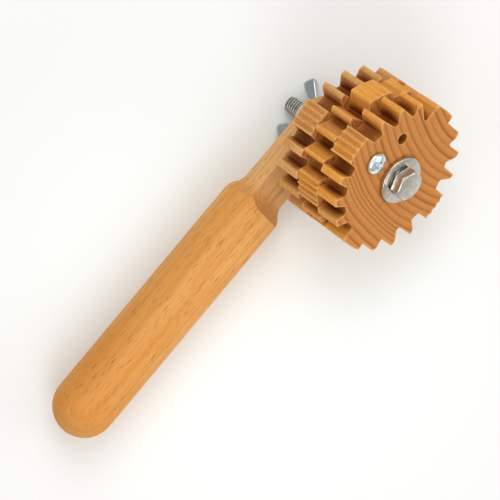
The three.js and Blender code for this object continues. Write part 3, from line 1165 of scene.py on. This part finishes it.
@dataclass
class LockScrew:
    """The domed, cross recessed screw that pins the wheels together."""

    bench: Bench
    circle_r: float = 20.25
    angle: float = 98.7
    shank_d: float = 4.2
    root_d: float = 3.1
    pitch: float = 1.6
    head_d: float = 10.0
    head_height: float = 2.7
    rim_height: float = 0.7
    length: float = 35.3
    point: float = 3.0
    recess_turn: float = 14.0
    recess_span: float = 5.6
    recess_width: float = 1.25
    recess_depth: float = 1.7
    recess_edge: float = 0.04
    pit_r: float = 1.35

    def head(self) -> Solid:
        """Turns the domed head, with the shank's plain neck under it.

        Returns:
            The head's solid.
        """
        radius, rim = self.head_d / 2, self.rim_height
        dome = self.head_height - rim
        arc = [(radius * math.cos(lift), rim + dome * math.sin(lift)) for lift in quarter(10)]
        neck = self.root_d / 2 + 0.1
        return lathe([(0, -1), (neck, -1), (neck, 0), (radius - 0.25, 0), (radius, 0.25), *arc])

    def recess(self) -> Solid:
        """Makes the cutter of the cross recess, its four wings tapering inwards.

        Returns:
            The cutter's solid.
        """
        top, floor = self.head_height + 0.4, self.head_height - self.recess_depth
        cross = None
        for turn in (0, 90):
            size = (self.recess_span, self.recess_width, top - floor)
            wing = block(size, (0, 0, (top + floor) / 2))
            low = [vert for vert in wing.verts if vert.co.z < floor + 0.01]
            bmesh.ops.scale(wing, vec=(0.42, 0.7, 1), verts=low)
            rotate(wing, turn + self.recess_turn, "Z")
            cross = wing if cross is None else carved(cross, wing, Carving.JOIN)
        pit = lathe([(0, floor - 0.3), (0.5, floor), (self.pit_r, top), (0, top)], COARSE)
        return carved(cross, pit, Carving.JOIN)

    def build(self) -> None:
        """Makes the screw and dresses it."""
        head = carved(self.head(), self.recess(), Carving.CUT)
        round_off(head, sharp_edges(head, 35), self.recess_edge, 1)
        low, tip, crest = -self.length, self.point, self.shank_d / 2
        rod = thread(self.shank_d + 0.02, self.root_d, self.pitch, low - 0.2, -0.6)
        envelope = lathe([(0, low), (0.35, low + 0.1), (crest, low + tip), (crest, 1), (0, 1)], 48)
        screw = carved(head, carved(rod, envelope, Carving.KEEP), Carving.JOIN)
        spot = math.radians(self.angle)
        move(screw, (self.circle_r * math.cos(spot), self.circle_r * math.sin(spot), self.bench.stack.gap))
        finish = BRIGHT_ZINC.material(self.bench.tool, 0)
        self.bench.settle("screw_lock", screw, finish, "lock_screw", Body.SCREW, Slot.ZINC, 28)


@dataclass
class WingClamp:
    """The cast wing nut behind the neck, and the washer under it."""

    bench: Bench
    hub_d: float = 13.6
    hub_top_d: float = 10.2
    hub_height: float = 4.1
    spread: float = 30.8
    reach: float = 12.3
    width: float = 6.6
    root_width: float = 5.2
    thickness: float = 3.4
    corner_r: float = 2.0
    lean: float = 50.0
    turn: float = 12.0
    bore_d: float = 8.58
    ear_edge: float = 0.8
    grain: float = 0.25
    passes: int = 4

    def ear(self, side: int) -> Solid:
        """Makes one ear, leaning outwards from the hub.

        Args:
            side: 1 for the ear on the x side, -1 for the other.

        Returns:
            The ear's solid.
        """
        half = self.width / 2
        lean = math.radians(self.lean)
        root = (self.bore_d / 2 + self.hub_d / 2) / 2
        flat = half - self.corner_r
        corner_x = self.spread / 2 - self.corner_r - flat * math.sin(lean)
        corner_z = self.reach - self.corner_r - flat * math.cos(lean)
        length = (corner_x - root) / math.cos(lean) + self.corner_r
        bm = block((length, self.thickness, self.width), (length / 2, 0, 0))
        inner = [vert for vert in bm.verts if vert.co.x < length / 2]
        bmesh.ops.scale(bm, vec=(1, 1, self.root_width / self.width), verts=inner)
        tip = [edge for edge in bm.edges if all(vert.co.x > length / 2 for vert in edge.verts)]
        corners = [edge for edge in tip if abs(edge.verts[0].co.z - edge.verts[1].co.z) < 0.1]
        round_off(bm, corners, self.corner_r, 6)
        round_off(bm, sharp_edges(bm, 40), self.ear_edge, 4)
        rotate(bm, -self.lean, "Y")
        move(bm, (root, 0, corner_z - (length - self.corner_r) * math.sin(lean)))
        if side < 0:
            rotate(bm, 180, "Z")
        return bm

    def nut(self) -> Solid:
        """Makes the wing nut: hub and ears joined, softened as a casting, then bored.

        Returns:
            The wing nut's solid, in the tool's frame.
        """
        foot, top = self.hub_d / 2, self.hub_top_d / 2
        hub = lathe([(0, 0), (foot, 0), (top, self.hub_height), (0, self.hub_height)], 72)
        body = carved(hub, self.ear(1), Carving.JOIN)
        body = carved(body, self.ear(-1), Carving.JOIN)
        room = cylinder(self.spread, 0, 20, COARSE)
        body = cast(carved(body, room, Carving.KEEP), self.grain, self.passes)
        nut = carved(body, cylinder(self.bore_d / 2, -1, self.reach + 1), Carving.CUT)
        place = (
            Matrix.Translation((0, 0, self.bench.stack.wing_base))
            @ Matrix.Rotation(math.pi, 4, "X")
            @ Matrix.Rotation(math.radians(-self.turn), 4, "Z")
        )
        bmesh.ops.transform(nut, matrix=place, verts=nut.verts)
        return nut

    def build(self) -> None:
        """Makes and dresses the wing nut and its washer."""
        bench, stack = self.bench, self.bench.stack
        finish = CAST_ZINC.material(bench.tool, stack.wing_base)
        bench.settle("nut_wing", self.nut(), finish, "wing_nut", Body.WING, Slot.ZINC, 50)
        low = stack.outer_washer_back
        zinc = BRIGHT_ZINC.material(bench.tool, low)
        washer = Axle(bench).small_washer(low)
        bench.settle("washer_outer", washer, zinc, "outer_washer", Body.CLAMP_WASHER, Slot.ZINC)


@dataclass
class Handle:
    """The turned grip, cut down on four sides to the neck that the bolt goes through."""

    bench: Bench
    grip_d: float = 28.7
    length: float = 189.0
    neck_end: float = 11.5
    neck_start: float = 38.8
    neck_width: float = 21.2
    side_cove_r: float = 12.0
    flat_cove_r: float = 9.6
    bore_d: float = 8.74
    bore_reach: float = 8.0
    nose_reach: float = 9.0
    room: float = 60.0
    edge: float = 0.3

    def turned_blank(self) -> Solid:
        """Turns the grip along the x axis, with its domed butt.

        Returns:
            The blank, long enough for the neck.
        """
        radius = self.grip_d / 2
        butt = self.neck_end - self.length
        dome = [(radius * math.sin(angle), butt + radius * (1 - math.cos(angle))) for angle in quarter(20)]
        bm = lathe([*dome, (radius, self.neck_end), (0, self.neck_end)], 128)
        rotate(bm, 90, "Y")
        return bm

    def cove_cutter(self, half: float, cove_r: float, side: int) -> Solid:
        """Makes the cutter that takes one side of the neck down, with the cove at its shoulder.

        Args:
            half: Half of the neck's thickness across that side.
            cove_r: Radius of the cove.
            side: 1 or -1, the side of the neck.

        Returns:
            The cutter, which stands along z and cuts across y.
        """
        span = self.grip_d + 4
        length = self.neck_start + self.neck_end + 2
        middle = -self.neck_start + length / 2
        bm = block((length, span, span), (middle, side * (half + span / 2), 0))
        nose = cylinder(cove_r, -span / 2, span / 2, FINE)
        move(nose, (-self.neck_start, side * (half + cove_r), 0))
        return carved(bm, nose, Carving.JOIN)

    def build(self) -> None:
        """Makes the handle and dresses it."""
        stack = self.bench.stack
        bm = self.turned_blank()
        cuts = ((self.neck_width / 2, self.side_cove_r, 0), (stack.neck / 2, self.flat_cove_r, 90))
        for depth, cove_r, roll in cuts:
            for side in (1, -1):
                cutter = self.cove_cutter(depth, cove_r, side)
                rotate(cutter, roll, "X")
                bm = carved(bm, cutter, Carving.CUT)
        half = self.neck_width / 2
        centre = self.neck_end - half
        nose = cylinder(half, -self.nose_reach, self.nose_reach, FINE)
        move(nose, (centre, 0, 0))
        shaft = block((self.length, self.room, self.room), (centre - self.length / 2, 0, 0))
        bm = carved(bm, carved(shaft, nose, Carving.JOIN), Carving.KEEP)
        bm = carved(bm, cylinder(self.bore_d / 2, -self.bore_reach, self.bore_reach), Carving.CUT)
        round_off(bm, sharp_edges(bm, 28), self.edge, 2)
        grip_height = stack.neck_back + stack.neck / 2
        move(bm, (0, 0, grip_height))
        finish = HandleWood().material(self.bench.tool, grip_height)
        self.bench.settle("handle_turned", bm, finish, "handle", Body.FRAME, Slot.HANDLE_WOOD, 24)


# The studio


@dataclass(frozen=True)
class SoftBox:
    """A large square lamp that looks at the object.

    Args:
        name: Its name.
        swing: Its direction seen from above, in degrees from the picture's right to its top.
        lift: Its height over the floor, in degrees.
        power: Its power, in watts.
        size: Its side, in metres.
        reach: Its distance, in metres.
    """

    name: str
    swing: float
    lift: float
    power: float
    size: float = 0.8
    reach: float = 1.25


@dataclass
class Studio:
    """The photograph's camera over a pale floor, lit by soft boxes from all sides but the left."""

    eye: Vector = field(default_factory=lambda: Vector((-0.07146, 0.10649, 1.12185)))
    right: Vector = field(default_factory=lambda: Vector((0.63806, -0.76186, 0.11161)))
    down: Vector = field(default_factory=lambda: Vector((-0.76671, -0.642, 0.00081)))
    lens: float = 180.0
    sensor: float = 36.0
    floor_size: float = 4.0
    # Painted light: a lighter, cooler floor right round the object, which lifts its shadow and warm bounce.
    floor_painted_light: Colour = shade("f7fbf8")
    floor_near: Colour = shade("f0f0ed")
    floor_far: Colour = shade("a8a49c")
    sky_dim: float = 0.39
    sky_bright: float = 0.54
    sky_above: float = 0.46
    sky_swing: float = -40.0
    sky_lift: float = 10.0
    boxes: tuple[SoftBox, ...] = (
        SoftBox("top_box", 96, 50, 3.9),
        SoftBox("right_box", -8, 24, 1.8, 0.7),
        SoftBox("lower_box", 274, 44, 3.1, 0.6),
    )

    def camera(self) -> None:
        """Sets the camera where the photograph was taken from."""
        data = bpy.data.cameras.new("photo_camera")
        data.lens = self.lens
        data.sensor_width = self.sensor
        data.clip_start, data.clip_end = 0.05, 20
        camera = placed("photo_camera", data)
        right = self.right.normalized()
        back = right.cross(-self.down).normalized()
        up = back.cross(right)
        turn = Matrix((right, up, back)).transposed()
        camera.matrix_world = Matrix.Translation(self.eye) @ turn.to_4x4()
        bpy.context.scene.camera = camera

    def way(self, swing: float, lift: float) -> Vector:
        """Gives a direction over the floor.

        Args:
            swing: Its angle seen from above, in degrees from the picture's right to its top.
            lift: Its height over the floor, in degrees.

        Returns:
            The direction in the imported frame.
        """
        right = Vector((self.right.x, self.right.y, 0)).normalized()
        up = Vector((-self.down.x, -self.down.y, 0)).normalized()
        turn, rise = math.radians(swing), math.radians(lift)
        flat = (right * math.cos(turn) + up * math.sin(turn)) * math.cos(rise)
        return flat + Vector((0, 0, math.sin(rise)))

    def lamp(self, box: SoftBox) -> None:
        """Hangs a soft box over the floor."""
        data = bpy.data.lights.new(box.name, "AREA")
        data.size = box.size
        data.energy = box.power
        aim = self.way(box.swing, box.lift)
        lamp = placed(box.name, data)
        lamp.location = aim * box.reach
        lamp.rotation_euler = aim.to_track_quat("Z", "Y").to_euler()

    def floor(self) -> None:
        """Lays the floor: painted lighter and cooler right round the object, where its shadow falls, white
        further out and duller far away.
        """
        bm = bmesh.new()
        bmesh.ops.create_grid(bm, x_segments=8, y_segments=8, size=self.floor_size / 2)
        floor = as_object(bm, "floor")
        graph = Graph("pale_floor")
        point = graph.node("ShaderNodeTexCoord", []).outputs["Object"]
        radius = graph.length(point)
        # Painted light under and round the object, fading to the plain floor.
        near = graph.tint(self.floor_painted_light, self.floor_near, radius, 0.05, 0.15)
        graph.bump(graph.noise(point, 900, 2), 0.02, 0.2)
        graph.dress(
            base_color=graph.tint(near, self.floor_far, radius, 0.2, 0.75),
            roughness=0.8,
            specular_ior_level=0.15,
        )
        floor.data.materials.append(graph.material)

    def sky(self) -> None:
        """Makes the light of the room: dimmer towards the picture's upper left, brighter overhead."""
        world = bpy.data.worlds.new("studio")
        bpy.context.scene.world = world
        world.use_nodes = True
        nodes = Nodes(world.node_tree)
        seen = nodes.node("ShaderNodeTexCoord", []).outputs["Generated"]
        toward = nodes.vector("DOT_PRODUCT", seen, self.way(self.sky_swing, self.sky_lift), 1)
        level = nodes.span(toward, -0.5, 0.6, self.sky_dim, self.sky_bright)
        above = nodes.span(nodes.part(seen, 2), 0.35, 0.8, 0, self.sky_above)
        background = nodes.tree.nodes["Background"]
        nodes.feed(background.inputs["Color"], (1, 1, 1, 1))
        nodes.feed(background.inputs["Strength"], nodes.math("ADD", level, above))

    def build(self) -> None:
        """Sets up the camera, the floor and the light."""
        bpy.context.scene.view_settings.view_transform = "Standard"
        self.camera()
        self.floor()
        self.sky()
        for box in self.boxes:
            self.lamp(box)


def main() -> None:
    """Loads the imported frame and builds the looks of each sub-assembly in order."""
    logging.basicConfig(level=logging.INFO, format="%(message)s")
    for leftover in list(bpy.data.objects):
        bpy.data.objects.remove(leftover)
    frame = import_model()
    bench = Bench(frame["nodes"], ToolFrame.from_joints(frame["joints"]))
    Studio().build()
    Handle(bench).build()
    Roller(bench).build()
    Axle(bench).build()
    LockScrew(bench).build()
    WingClamp(bench).build()


if __name__ == "__main__":
    main()
